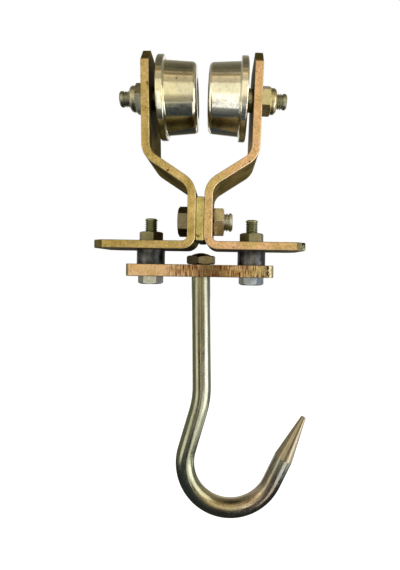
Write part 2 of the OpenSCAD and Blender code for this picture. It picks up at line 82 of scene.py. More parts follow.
def loops_to_mesh(name, loops):
    """Joins closed loops of equal length, in millimetres, into a skin with flat caps."""
    n = len(loops[0])
    last = (len(loops) - 1) * n
    verts = [tuple(c * MM for c in v) for loop in loops for v in loop]
    faces = []
    for start in range(0, last, n):
        for i in range(n):
            j = (i + 1) % n
            faces.append((start + i, start + j, start + n + j, start + n + i))
    faces.append(tuple(range(n - 1, -1, -1)))
    faces.append(tuple(range(last, last + n)))
    mesh = bpy.data.meshes.new(name)
    mesh.from_pydata(verts, [], faces)
    bm = bmesh.new()
    bm.from_mesh(mesh)
    bmesh.ops.recalc_face_normals(bm, faces=bm.faces)
    bm.to_mesh(mesh)
    bm.free()
    return mesh


def new_piece(name, loops, body, slot, *stands_for):
    """A piece that rides on a body and is shown in place of CAD nodes."""
    obj = linked(name, loops_to_mesh(name, loops))
    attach(obj, body)
    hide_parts(*stands_for)
    return obj


def bake_modifiers(obj):
    """Turns what an object's modifiers make into its own mesh."""
    bpy.context.view_layer.update()
    graph = bpy.context.evaluated_depsgraph_get()
    mesh = bpy.data.meshes.new_from_object(obj.evaluated_get(graph))
    obj.modifiers.clear()
    obj.data = mesh


def drill(obj, holes):
    """Cuts round holes, each (centre, direction, radius), in millimetres."""
    cutters = []
    for centre, direction, radius in holes:
        bm = bmesh.new()
        bmesh.ops.create_cone(bm, cap_ends=True, segments=48, radius1=radius * MM,
                              radius2=radius * MM, depth=CUTTER_L * MM)
        turn = Vector((0, 0, 1)).rotation_difference(Vector(direction)).to_matrix().to_4x4()
        bm.transform(Matrix.Translation(Vector(centre) * MM) @ turn)
        mesh = bpy.data.meshes.new("cutter")
        bm.to_mesh(mesh)
        bm.free()
        cutter = linked("cutter", mesh)
        cutters.append(cutter)
        mod = obj.modifiers.new("hole", "BOOLEAN")
        mod.operation, mod.object, mod.solver = "DIFFERENCE", cutter, "EXACT"
    bake_modifiers(obj)
    for cutter in cutters:
        bpy.data.objects.remove(cutter)


def even_normals(obj, sharp_angle=32):
    """Shades rounded edges smoothly and keeps the flats flat."""
    mesh = obj.data
    bm = bmesh.new()
    bm.from_mesh(mesh)
    for e in bm.edges:
        e.smooth = not (len(e.link_faces) == 2 and e.calc_face_angle() > math.radians(sharp_angle))
    bm.to_mesh(mesh)
    bm.free()
    for p in mesh.polygons:
        p.use_smooth = True
    mod = obj.modifiers.new("normals", "WEIGHTED_NORMAL")
    mod.keep_sharp = True
    mod.weight = 100
    bake_modifiers(obj)


def rounded_rectangle(half_x, half_y, r, steps):
    """Points round a rectangle, with each corner as an arc of so many steps."""
    pts = []
    for side_x, side_y, start in ((1, 1, 0), (-1, 1, 90), (-1, -1, 180), (1, -1, 270)):
        for i in range(steps + 1):
            a = math.radians(start + 90 * i / steps)
            pts.append((side_x * (half_x - r) + r * math.cos(a), side_y * (half_y - r) + r * math.sin(a)))
    return pts


# Hangers: one flat bar swept along its bends, with rounded edges
def bar_path():
    """Centre line of the right hanger: (x, z, heading) from the leg's top to the foot's end."""
    x, z, h = leg_x + LEG_TOP * math.sin(lean), leg_z + LEG_TOP * math.cos(lean), lean
    shoulder_mid, foot_mid = SHOULDER_R + PLATE_T / 2, FOOT_R + PLATE_T / 2
    tilt = math.radians(SHOULDER_ANGLE)
    bends_x = shoulder_mid * (math.cos(lean) + 1 - 2 * math.cos(tilt))
    bends_z = shoulder_mid * (2 * math.sin(tilt) - math.sin(lean))
    slope = (leg_x - neck_x - LEG_L * math.sin(lean) - bends_x) / math.sin(tilt)
    neck_z = leg_z - LEG_L * math.cos(lean) - bends_z - slope * math.cos(tilt)
    neck_run = neck_z + FOOT_DEPTH - FOOT_R
    foot_run = FOOT_REACH - neck_x - foot_mid
    end_run, end_step, leg_cut_step, foot_cut_step, step = 0.6, 0.2, 3, 2, 5
    out = [(x, z, h)]

    def straight(length, longest):
        nonlocal x, z
        n = max(1, math.ceil(length / longest))
        for _ in range(n):
            x -= math.sin(h) * length / n
            z -= math.cos(h) * length / n
            out.append((x, z, h))

    def bend(r, angle):
        nonlocal x, z, h
        n = max(4, math.ceil(abs(math.degrees(angle)) / 4))
        r = math.copysign(r, angle)
        centre_x, centre_z = x - r * math.cos(h), z + r * math.sin(h)
        for i in range(1, n + 1):
            t = h + angle * i / n
            out.append((centre_x + r * math.cos(t), centre_z - r * math.sin(t), t))
        x, z, h = out[-1]

    straight(end_run, end_step)
    straight(LEG_CHAMFER - end_run, leg_cut_step)
    straight(LEG_TOP + LEG_L - LEG_CHAMFER, step)
    bend(shoulder_mid, tilt - lean)
    straight(slope, step)
    bend(shoulder_mid, -tilt)
    straight(neck_run, step)
    bend(foot_mid, -math.pi / 2)
    straight(foot_run - FOOT_CHAMFER, step)
    straight(FOOT_CHAMFER - end_run, foot_cut_step)
    straight(end_run, end_step)
    return out


def hanger_loops(side):
    """Sections along a hanger: narrower where its corners are cut, and rounded off at both ends."""
    path = bar_path()
    runs = [0.0]
    for a, b in zip(path, path[1:]):
        runs.append(runs[-1] + math.dist(a[:2], b[:2]))
    loops = []
    for (x, z, h), run in zip(path, runs):
        left = runs[-1] - run
        half_w = PLATE_W / 2 - max(0, LEG_CHAMFER - run, FOOT_CHAMFER - left)
        into_edge = HANGER_EDGE_R - min(run, left, HANGER_EDGE_R)
        shrink = HANGER_EDGE_R - math.sqrt(max(0.0, HANGER_EDGE_R ** 2 - into_edge ** 2))
        edge_r = max(HANGER_EDGE_R - shrink, HANGER_END_R)
        section = rounded_rectangle(PLATE_T / 2 - shrink, half_w - shrink, edge_r, 4)
        loops.append([(side * (x + math.cos(h) * a), side * b, z - math.sin(h) * a) for a, b in section])
    return loops


def hanger(node, side):
    """One hanger with its three holes, to the left (-1) or right (1)."""
    name = node + "_plate"
    obj = new_piece(name, hanger_loops(side), "frame", name, node)
    drill(obj, [
        ((side * leg_x, 0, leg_z), (side * math.cos(lean), 0, -math.sin(lean)), AXLE_D / 2 + HOLE_GAP),
        ((side * neck_x, 0, clamp_z), (1, 0, 0), CLAMP_D / 2 + HOLE_GAP),
        ((side * BAR_BOLT_PITCH / 2, 0, foot_under + PLATE_T / 2), (0, 0, 1), BAR_BOLT_D / 2 + HOLE_GAP),
    ])
    even_normals(obj)


# Flat plates with rounded edges
def plate_loops(length, width, corner, thick, edge, steps=4):
    """Outlines of a flat plate from its underside up, drawn in where its edges are rounded."""
    quarter = [math.radians(90 * i / steps) for i in range(steps + 1)]
    levels = [(edge * (1 - math.sin(a)), edge * (1 - math.cos(a))) for a in quarter]
    levels += [(edge * (1 - math.cos(a)), thick - edge * (1 - math.sin(a))) for a in quarter]
    loops = []
    for inset, height in levels:
        corner_r = max(corner - inset, SMALLEST_CORNER_R)
        outline = rounded_rectangle(length / 2 - inset, width / 2 - inset, corner_r, 8)
        loops.append([(x, y, height) for x, y in outline])
    return loops


def cross_bar():
    """The bar under the feet, with a hole for the hook's rod and one for each bar bolt."""
    loops = plate_loops(BAR_L, BAR_W, BAR_CORNER_R, BAR_T, BAR_EDGE_R)
    loops = [[(x, y, h + bar_under) for x, y, h in loop] for loop in loops]
    obj = new_piece("hook_bar_plate", loops, "frame", "hook_bar_plate", "hook_bar")
    bolt_x, bolt_r = BAR_BOLT_PITCH / 2, BAR_BOLT_D / 2 + HOLE_GAP
    holes = ((0, ROD_D / 2 + SWIVEL_GAP), (-bolt_x, bolt_r), (bolt_x, bolt_r))
    drill(obj, [((x, 0, bar_under + BAR_T / 2), (0, 0, 1), r) for x, r in holes])
    even_normals(obj)


def centre_spacer():
    """The plate between the hangers' necks, with the clamp bolt's hole."""
    loops = plate_loops(SPACER_H, SPACER_W, SPACER_CORNER_R, SPACER_T, SPACER_EDGE_R)
    mid_z = foot_under + SPACER_LIFT + SPACER_H / 2
    loops = [[(h - SPACER_T / 2, y, x + mid_z) for x, y, h in loop] for loop in loops]
    obj = new_piece("centre_spacer_plate", loops, "frame", "centre_spacer_plate", "centre_spacer")
    drill(obj, [((0, 0, clamp_z), (1, 0, 0), CLAMP_D / 2 + HOLE_GAP)])
    even_normals(obj)


hanger("left_hanger", -1)
hanger("right_hanger", 1)
cross_bar()
centre_spacer()


# Materials
def lin(r, g, b):
    """Linear colour from the 0 to 255 values of a screen colour."""
    def linear(c):
        c /= 255
        return c / 12.92 if c <= 0.04045 else ((c + 0.055) / 1.055) ** 2.4
    return (linear(r), linear(g), linear(b), 1.0)


class Nodes:
    """Short calls for building the node tree of a material or of the world."""
    def __init__(self, owner):
        owner.use_nodes = True
        self.owner = owner
        self.tree = owner.node_tree
        self.bsdf = self.tree.nodes.get("Principled BSDF")
        self.coord = self.add("ShaderNodeTexCoord")

    def add(self, kind, inputs=None, **props):
        node = self.tree.nodes.new(kind)
        for k, v in props.items():
            setattr(node, k, v)
        for k, v in (inputs or {}).items():
            if isinstance(v, bpy.types.NodeSocket):
                self.tree.links.new(v, node.inputs[k])
            else:
                node.inputs[k].default_value = v
        return node

    def mapped(self, scale=(1, 1, 1), rotation=(0, 0, 0)):
        inputs = {"Vector": self.coord.outputs["Object"], "Scale": scale, "Rotation": rotation}
        return self.add("ShaderNodeMapping", inputs).outputs["Vector"]

    def noise(self, vector, scale, detail=4, rough=0.55):
        inputs = {"Vector": vector, "Scale": scale, "Detail": detail, "Roughness": rough}
        return self.add("ShaderNodeTexNoise", inputs).outputs["Fac"]

    def ramp(self, fac, *stops):
        """Colours or grey levels, each as (position, value)."""
        r = self.add("ShaderNodeValToRGB", {"Fac": fac})
        elements = r.color_ramp.elements
        while len(elements) < len(stops):
            elements.new(0.5)
        for element, (position, value) in zip(elements, stops):
            element.position = position
            element.color = value if hasattr(value, "__len__") else (value, value, value, 1)
        return r.outputs["Color"]

    def mix(self, fac, a, b, mode="MIX"):
        inputs = {0: fac, 6: a, 7: b}
        return self.add("ShaderNodeMix", inputs, data_type="RGBA", blend_type=mode).outputs[2]

    def tone(self, amount, color, by):
        """Multiplies a colour by another one, in part."""
        return self.mix(amount, color, by, "MULTIPLY")

    def math(self, op, a, b=0.0, c=0.0):
        return self.add("ShaderNodeMath", {0: a, 1: b, 2: c}, operation=op).outputs[0]

    def product(self, first, *others):
        for other in others:
            first = self.math("MULTIPLY", first, other)
        return first

    def less(self, value):
        """One minus a value."""
        return self.math("SUBTRACT", 1.0, value)

    def axis(self, which, source="Object"):
        return self.add("ShaderNodeSeparateXYZ", {0: self.coord.outputs[source]}).outputs[which]

    def step(self, value, low, high):
        """0 below low and 1 above high, with a soft change between."""
        inputs = {"Value": value, "From Min": low, "From Max": high}
        return self.add("ShaderNodeMapRange", inputs, interpolation_type="SMOOTHSTEP").outputs["Result"]

    def over(self, which, low, high):
        """0 where a coordinate is below low and 1 above high, in millimetres."""
        return self.step(self.axis(which), low * MM, high * MM)

    def under(self, which, low, high):
        return self.less(self.over(which, low, high))

    def band(self, which, rise, fall):
        """1 along a stretch of an axis, with soft ends that are each given as (from, to)."""
        return self.product(self.over(which, *rise), self.under(which, *fall))

    def set(self, name, value):
        self.bsdf.inputs[name].default_value = value

    def link(self, out, name):
        self.tree.links.new(out, self.bsdf.inputs[name])

    def bump(self, height, strength, distance, soft_edge=0.0):
        """Relief of a distance in metres, with the edges rounded in shading alone to a radius."""
        b = self.add("ShaderNodeBump", {"Height": height, "Strength": strength, "Distance": distance})
        if soft_edge:
            bevel = self.add("ShaderNodeBevel", {"Radius": soft_edge}, samples=6)
            self.tree.links.new(bevel.outputs["Normal"], b.inputs["Normal"])
        self.link(b.outputs["Normal"], "Normal")

    def surface(self, shader):
        """Puts a shader in place of the one that the tree starts with."""
        end = next(node for node in self.tree.nodes if node.bl_idname.startswith("ShaderNodeOutput"))
        self.tree.nodes.remove(end.inputs["Surface"].links[0].from_node)
        self.tree.links.new(shader.outputs[0], end.inputs["Surface"])


def nodes_of_material(name):
    return Nodes(bpy.data.materials.new(name))


# Where the hangers' corners are cut, each as a soft change in millimetres: up the leg, and out along the foot
LEG_CUT = (36.5, 37.2)
FOOT_CUT = (57.0, 57.6)


def chromate(name, edge, face, brown, wear_and_sheen, marks=None):
    """Yellow zinc on a bent flat bar: bright grained cut edges; painted shade as a darker cloudy olive on the
    rolled faces; pale rims with wear and a painted highlight.
    """
    edge, face = [lin(*c) for c in edge], [lin(*c) for c in face]
    n = nodes_of_material(name)
    n.set("Metallic", 1.0)
    n.set("Specular Tint", (0.22, 0.2, 0.14, 1))
    cloud = n.noise(n.mapped(), 60, 4, 0.6)
    fine = n.noise(n.mapped(), 1500, 4, 0.75)
    mottle = n.noise(n.mapped(), 330, 3, 0.6)
    specks = n.noise(n.mapped((1, 1, 1), (0.1, 0.6, 0.4)), 1000, 2, 0.6)
    spots = n.noise(n.mapped((1, 1, 1), (0.3, 0.2, 0.9)), 210, 2, 0.5)
    gold = n.ramp(cloud, (0.36, edge[0]), (0.5, edge[1]), (0.64, edge[2]))
    gold = n.tone(0.45, gold, n.ramp(mottle, (0.34, 0.72), (0.5, 1.0), (0.66, 1.16)))
    gold = n.tone(0.9, gold, n.ramp(fine, (0.34, 0.68), (0.5, 1.0), (0.66, 1.22)))
    gold = n.tone(0.8, gold, n.ramp(specks, (0.33, 0.5), (0.41, 1.0), (0.62, 1.0), (0.7, 1.25)))
    gold = n.mix(n.ramp(spots, (0.27, 1.0), (0.315, 0.0)), gold, lin(*brown))
    # The olive is painted shade on the faces: a darker copy of the same zinc.
    olive = n.ramp(cloud, (0.36, face[0]), (0.52, face[1]), (0.66, face[2]))
    if marks:
        gold, olive = marks(n, gold, olive)
    olive = n.tone(0.7, olive, n.ramp(fine, (0.34, 0.75), (0.66, 1.2)))
    # Gold goes on the edges, which face along Y, and not on the corners that are cut at both ends; the faces
    # and those corners get the olive, which is painted shade.
    across = n.math("ABSOLUTE", n.axis(Y, "Normal"))
    foot_end = n.step(n.math("ABSOLUTE", n.axis(X)), FOOT_CUT[0] * MM, FOOT_CUT[1] * MM)
    corner = n.math("MAXIMUM", n.over(Z, *LEG_CUT), foot_end)
    not_facet = n.less(n.product(corner, n.less(n.step(across, 0.76, 0.86))))
    cut = n.product(n.step(across, 0.25, 0.55), not_facet)
    # Pale rims along the rounded edges: wear, and also a painted highlight along each edge.
    highlight_rim = n.product(n.step(across, 0.3, 0.5), n.less(n.step(across, 0.9, 0.985)), not_facet)
    gold = n.mix(n.product(highlight_rim, n.ramp(mottle, (0.34, 0.15), (0.6, 0.75))), gold, lin(*wear_and_sheen))
    n.link(n.mix(cut, olive, gold), "Base Color")
    n.link(n.ramp(fine, (0.34, 0.52), (0.66, 0.36)), "Roughness")
    n.bump(n.math("ADD", n.product(fine, 0.6), n.product(mottle, 0.8)), 0.45, 0.00016)
    return n.owner


def bar_marks(n, gold, olive):
    """The bar's front: olive to the right, dull in the middle, lined with rust, pitted at both ends, where
    the pits' black and white specks are also painted shade and painted glints.
    """
    gold = n.mix(n.product(n.over(X, 22, 38), 0.6), gold, lin(214, 204, 142))
    gold = n.mix(n.product(n.band(X, (-8, 4), (10, 20)), 0.8), gold, lin(112, 100, 62))
    lines = n.ramp(n.noise(n.mapped((1, 0.4, 0.05)), 2500, 2, 0.5), (0.47, 1.0), (0.54, 0.0))
    patches = n.ramp(n.noise(n.mapped((1, 1, 2.2)), 150, 3), (0.34, 0.4), (0.52, 1.0))
    gold = n.mix(n.product(n.band(X, (-26, -12), (41, 44)), lines, patches), gold, lin(96, 44, 32))
    # Pits at both ends: black specks of painted shade and near-white specks of painted glint.
    pits = n.ramp(n.noise(n.mapped(), 700, 3, 0.7), (0.45, lin(34, 34, 24)), (0.55, lin(112, 106, 70)),
                  (0.66, lin(238, 236, 214)))
    ends = n.math("ADD", n.under(X, -44.6, -42.5), n.over(X, 38.5, 41.5))
    return n.mix(ends, gold, pits), olive


def foot_marks(n, gold, olive):
    """The right foot's end, on the edges that face along Y: black and white specks like pits, which are
    painted shade and painted glints.
    """
    # Black specks are painted shade and near-white specks are painted glints.
    pits = n.ramp(n.noise(n.mapped(), 640, 3, 0.7), (0.44, lin(30, 30, 22)), (0.54, lin(150, 140, 100)),
                  (0.6, lin(250, 248, 230)))
    across = n.step(n.math("ABSOLUTE", n.axis(Y, "Normal")), 0.4, 0.6)
    end = n.product(n.over(X, 59.7, 61.3), across)
    return n.mix(end, gold, pits), n.mix(end, olive, pits)


def zinc(name, light, main, dark, rough, tints=None, streak=(1, 1, 1), bump=0.2, soft_edge=0.0,
         speckle=0.25, thread=None, marks=None):
    """Bright zinc: soft cloudy tints, fine streaks and grain, slightly uneven gloss."""
    n = nodes_of_material(name)
    n.set("Metallic", 1.0)
    cloud = n.noise(n.mapped(streak), 90, 4, 0.6)
    fine = n.noise(n.mapped(streak), 900, 5, 0.7)
    speck = n.noise(n.mapped(), 1500, 3, 0.7)
    col = n.ramp(cloud, (0.34, lin(*dark)), (0.5, lin(*main)), (0.66, lin(*light)))
    if tints:
        hue = n.noise(n.mapped(streak, (0.4, 0.1, 0.2)), 34, 2, 0.5)
        col = n.mix(n.ramp(hue, (0.48, 0.0), (0.62, 0.75)), col, lin(*tints[0]))
        col = n.mix(n.ramp(hue, (0.38, 0.75), (0.5, 0.0)), col, lin(*tints[1]))
    col = n.tone(0.7, col, n.ramp(fine, (0.32, 0.78), (0.5, 1.0), (0.68, 1.12)))
    col = n.tone(speckle, col, n.ramp(speck, (0.38, 0.55), (0.48, 1.0), (0.62, 1.08)))
    if marks:
        col = marks(n, col, fine)
    if thread:
        which, start, end, color = thread
        bare = n.tone(0.8, lin(*color), n.ramp(cloud, (0.34, 0.75), (0.66, 1.2)))
        col = n.mix(n.over(which, start, end), col, bare)
    n.link(col, "Base Color")
    n.link(n.ramp(n.noise(n.mapped(), 260, 4, 0.6), (0.35, rough[1]), (0.65, rough[0])), "Roughness")
    n.bump(n.math("ADD", fine, n.product(speck, speckle)), bump, 0.00008, soft_edge)
    return n.owner


def ground_point():
    """Where the hook's ground point begins: its direction, and how far along it that is."""
    x, z, h = 0.0, bar_under, 0.0
    bowl_angle = SET_ANGLE + POINT_ANGLE - NECK_ANGLE - 180
    bends = ((SET_R, -SET_ANGLE), (NECK_R, NECK_ANGLE), (BOWL_R, bowl_angle), (0, 0))
    for run, (r, angle) in zip(ROD_RUNS, bends):
        angle = math.radians(angle)
        dx = math.copysign(r, angle) * (math.cos(angle) - 1)
        dz = -run - r * math.sin(abs(angle))
        x += dx * math.cos(h) + dz * math.sin(h)
        z += dz * math.cos(h) - dx * math.sin(h)
        h += angle
    direction = (-math.sin(h), 0, -math.cos(h))
    return direction, (x * direction[0] + z * direction[2]) * MM


def hook_marks(n, col, fine):
    """A warmer tint low in the hook's bowl, painted shade as a brown band down the middle of the rod's front,
    and the ground point.
    """
    # A warmer tint low on the bowl's right side.
    bowl_tint = n.product(n.band(X, (-6, 10), (36, 56)), n.under(Z, -232, -214))
    col = n.mix(bowl_tint, col, n.tone(1.0, col, (1.0, 0.84, 0.68, 1)))
    # Painted shade: a brown band down the middle of the rod's front, darkening a reflection there.
    run = n.product(n.band(X, (-1.4, -0.4), (0.6, 2.0)), n.under(Y, -3, 0), n.over(Z, -178, -160))
    col = n.mix(run, col, n.tone(1.0, col, (0.66, 0.56, 0.45, 1)))
    direction, start = ground_point()
    fade = 0.15 * MM
    inputs = {0: n.coord.outputs["Object"], 1: direction}
    along = n.add("ShaderNodeVectorMath", inputs, operation="DOT_PRODUCT").outputs["Value"]
    ground = n.product(n.step(along, start - fade, start + fade), n.over(X, 36, 40))
    return n.mix(ground, col, n.tone(0.6, lin(160, 148, 126), n.ramp(fine, (0.3, 0.7), (0.7, 1.2))))


def wheel_finish(name, dull, main, warm, rough):
    """Turned and plated steel: tight rings round the axle, faint mottling, rolled-in wear."""
    n = nodes_of_material(name)
    n.set("Metallic", 1.0)
    mottle = n.noise(n.mapped(), 420, 4, 0.65)
    cloud = n.noise(n.mapped(), 70, 3, 0.5)
    rings = n.noise(n.mapped((1, 0.02, 0.02)), 1500, 3, 0.6)
    pits = n.noise(n.mapped((1, 1, 1), (0.5, 0.3, 0.1)), 330, 1, 0.5)
    col = n.ramp(cloud, (0.36, lin(*dull)), (0.52, lin(*main)), (0.66, lin(*warm)))
    col = n.tone(0.55, col, n.ramp(mottle, (0.34, 0.74), (0.48, 1.0), (0.66, 1.06)))
    col = n.mix(n.ramp(pits, (0.2, 0.8), (0.235, 0.0)), col, lin(96, 90, 74))
    n.link(col, "Base Color")
    n.link(n.ramp(mottle, (0.34, rough + 0.09), (0.66, rough)), "Roughness")
    n.bump(n.math("ADD", n.product(rings, 0.5), n.product(mottle, 0.6)), 0.1, 0.00005)
    return n.owner


def black_finish(name, light, main, dark, rough):
    """Blackened steel, drawn along Z, rubbed paler in places."""
    n = nodes_of_material(name)
    n.set("Metallic", 0.6)
    fine = n.noise(n.mapped((1, 1, 0.4)), 800, 5, 0.7)
    col = n.ramp(n.noise(n.mapped(), 140, 4), (0.36, lin(*dark)), (0.5, lin(*main)), (0.66, lin(*light)))
    n.link(n.tone(0.6, col, n.ramp(fine, (0.34, 0.6), (0.66, 1.3))), "Base Color")
    n.link(n.ramp(fine, (0.34, rough + 0.12), (0.66, rough)), "Roughness")
    n.bump(fine, 0.3, 0.0001)
    return n.owner


def polymer(name, darker, lighter, rough):
    """Moulded plastic, faintly cloudy."""
    n = nodes_of_material(name)
    n.link(n.ramp(n.noise(n.mapped(), 90, 4), (0.35, lin(*darker)), (0.65, lin(*lighter))), "Base Color")
    n.link(n.ramp(n.noise(n.mapped(), 500, 3), (0.35, rough + 0.1), (0.65, rough)), "Roughness")
    n.bump(n.noise(n.mapped(), 900, 3), 0.15, 0.00005)
    return n.owner


def paint(mat, *names):
    """Gives one material to CAD nodes or to the scene's own pieces."""
    for name in names:
        obj = nodes.get(name) or bpy.data.objects[name]
        obj.data.materials.clear()
        obj.data.materials.append(mat)


def paint_flat_bars():
    # Each chromate call takes the edge gold, the face olive (painted shade), the brown of its spots, and a
    # pale rim colour (wear and painted highlight).
    olive = ((104, 96, 60), (134, 122, 82), (160, 146, 104))
    pink_olive = ((142, 136, 100), (178, 158, 118), (204, 178, 140))
    bar_olive = ((96, 86, 58), (128, 112, 78), (160, 138, 104))
    left = ((184, 160, 96), (204, 178, 120), (222, 194, 140))
    right = ((208, 184, 124), (230, 190, 144), (242, 200, 164))
    spacer = ((178, 164, 96), (206, 190, 124), (226, 214, 154))
    bar = ((204, 166, 110), (226, 188, 136), (238, 202, 164))
    paint(chromate("left_gold", left, olive, (110, 74, 38), (240, 228, 184)), "left_hanger_plate")
    paint(chromate("right_gold", right, pink_olive, (120, 70, 44), (250, 230, 204), foot_marks),
          "right_hanger_plate")
    paint(chromate("spacer_gold", spacer, olive, (120, 100, 44), (244, 238, 196)), "centre_spacer_plate")
    paint(chromate("bar_gold", bar, bar_olive, (110, 62, 38), (246, 222, 180), bar_marks), "hook_bar_plate")


def paint_fasteners():
    paint(zinc("fastener_zinc", (222, 214, 186), (200, 192, 160), (164, 156, 124), (0.22, 0.36),
               ((206, 194, 152), (160, 162, 154)), soft_edge=0.0003),
          "axle_nuts", "left_axle_collar", "right_axle_collar")
    paint(zinc("centre_nut_zinc", (236, 238, 232), (212, 214, 204), (160, 162, 150), (0.24, 0.4),
               ((218, 212, 194), (180, 194, 190)), soft_edge=0.0004), "centre_nut")
    paint(zinc("centre_bolt_zinc", (140, 130, 110), (114, 106, 86), (84, 76, 58), (0.24, 0.38),
               ((124, 114, 92), (100, 98, 82)), soft_edge=0.0004, thread=(X, 14, 15, (204, 204, 192))),
          "centre_bolt")
    paint(zinc("bar_bolt_zinc", (222, 226, 228), (198, 202, 204), (160, 164, 168), (0.22, 0.36),
               ((206, 206, 192), (168, 180, 196)), soft_edge=0.0003,
               thread=(Z, -74.5, -73.5, (164, 166, 140))), "bar_bolts")
    # The hook nut's darker brown zinc is painted shade from the hangers above it.
    paint(zinc("hook_nut_shaded_zinc", (142, 126, 96), (120, 104, 76), (92, 80, 56), (0.26, 0.4),
               ((132, 120, 88), (108, 104, 84)), soft_edge=0.0003), "hook_nut")
    paint(zinc("axle_bolt_zinc", (196, 196, 186), (166, 166, 154), (112, 112, 98), (0.24, 0.38),
               ((176, 174, 150), (148, 154, 150)), soft_edge=0.0003), "axle_bolts")
    paint(zinc("dull_fastener_zinc", (150, 148, 124), (128, 126, 102), (100, 98, 76), (0.26, 0.4),
               ((136, 128, 98), (112, 120, 112)), soft_edge=0.0003), "bar_nuts")
    paint(polymer("nylon", (226, 220, 202), (238, 232, 216), 0.42), "axle_nut_nylons")


def paint_hook_and_spacers():
    paint(zinc("hook_zinc", (206, 208, 206), (184, 184, 178), (150, 150, 138), (0.15, 0.25),
               ((178, 178, 148), (180, 148, 128)), streak=(1, 1, 0.12), bump=0.16, speckle=0.7,
               marks=hook_marks), "hook_rod")
    paint(black_finish("black_steel", (120, 122, 128), (66, 67, 72), (34, 35, 39), 0.24),
          "left_bar_spacer", "right_bar_spacer")


def paint_wheels():
    # The right wheel's finish is a lighter copy of the left wheel's: painted light.
    paint(wheel_finish("left_wheel_zinc", (196, 192, 170), (222, 218, 200), (232, 226, 196), 0.10),
          "left_wheel")
    paint(wheel_finish("right_wheel_lit_zinc", (230, 227, 212), (242, 239, 226), (246, 240, 222), 0.12),
          "right_wheel")
    race_steel = zinc("race_steel", (206, 208, 210), (190, 192, 194), (170, 172, 174), (0.12, 0.2), bump=0.05)
    ring_steel = black_finish("ring_steel", (86, 84, 82), (66, 64, 62), (46, 45, 44), 0.35)
    cage_brown = polymer("cage_brown", (122, 92, 52), (142, 110, 66), 0.5)
    for side in ("left_", "right_"):
        for part in ("outer_race", "inner_race", "bearing_balls", "bearing_shields"):
            paint(race_steel, side + part)
        paint(ring_steel, side + "circlip")
        paint(cage_brown, side + "bearing_cage")


paint_flat_bars()
paint_fasteners()
paint_hook_and_spacers()
paint_wheels()


# Floor, reflection cards and wall, in metres
FLOOR_Z, CARD_Z, NEAR_CARD_Z = -0.42, -0.41, -0.262
LAYER = 0.001
FLOOR_GLOW, DARK_GLOW = 0.86, 0.06
DARK = (0.62, 0.78, 0.95, 1)
DUSK = (0.93, 1, 0.97, 1)


def stage_piece(name, corners, mat):
    mesh = bpy.data.meshes.new(name)
    mesh.from_pydata(corners, [], [(0, 1, 2, 3)])
    obj = linked(name, mesh)
    obj.data.materials.append(mat)
    return obj


def level(x, y, z):
    """Corners of a level rectangle, from its ranges along X and Y."""
    return [(x[0], y[0], z), (x[1], y[0], z), (x[1], y[1], z), (x[0], y[1], z)]


def floor_material():
    """Pale matt floor that shows white, but for the object's shadow."""
    n = nodes_of_material("floor")
    rays = n.add("ShaderNodeLightPath").outputs
    seen = n.math("MAXIMUM", rays["Is Camera Ray"], rays["Is Glossy Ray"])
    seen = n.math("MAXIMUM", seen, rays["Is Transmission Ray"])
    matt = n.add("ShaderNodeBsdfDiffuse", {"Color": (0.8, 0.8, 0.8, 1)})
    glow = n.add("ShaderNodeEmission", {"Color": (1, 1, 1, 1), "Strength": n.product(seen, FLOOR_GLOW)})
    n.surface(n.add("ShaderNodeAddShader", {0: matt.outputs[0], 1: glow.outputs[0]}))
    return n.owner


def glow_material(name, color, strength):
    n = nodes_of_material(name)
    n.surface(n.add("ShaderNodeEmission", {"Color": color, "Strength": strength}))
    return n.owner


def wall_material():
    """Cream above and dim below, darker low down at the middle and sides, with one bright patch."""
    n = nodes_of_material("wall")
    shade = n.mix(n.over(Z, -200, -20), (0.42, 0.38, 0.27, 1), (1.05, 0.98, 0.72, 1))
    aside = n.math("ADD", n.under(X, -190, -150), n.over(X, 170, 210))
    dim = n.math("ADD", aside, n.band(X, (-70, -40), (20, 50)))
    shade = n.mix(n.product(dim, n.under(Z, -340, -220)), shade, (0.17, 0.155, 0.11, 1))
    bright = n.product(n.band(X, (-155, -135), (-75, -50)), n.under(Z, -100, 50))
    shade = n.mix(bright, shade, (1.7, 1.68, 1.56, 1))
    n.surface(n.add("ShaderNodeEmission", {"Color": shade, "Strength": 1.0}))
    return n.owner


def reflector(name, corners, mat):
    """A part of the studio that only reflections see."""
    obj = stage_piece(name, corners, mat)
    obj.visible_camera = obj.visible_diffuse = obj.visible_shadow = False
    obj.visible_transmission = obj.visible_volume_scatter = False


def card(name, x, y, z, color, strength):
    reflector(name, level(x, y, z), glow_material(name, color, strength))


def wall():
    """The studio wall behind the camera."""
    x, y, z = (-1.1, 1.1), -0.75, (CARD_Z, 0.33)
    reflector("wall", [(x[0], y, z[0]), (x[1], y, z[0]), (x[1], y, z[1]), (x[0], y, z[1])], wall_material())


def flag(name, x, front, color):
    """An upright card at one side of the object."""
    y, z = (front, 0.66), (CARD_Z, -0.10)
    corners = [(x, y[0], z[0]), (x, y[1], z[0]), (x, y[1], z[1]), (x, y[0], z[1])]
    reflector(name, corners, glow_material("flag", color, 1.0))


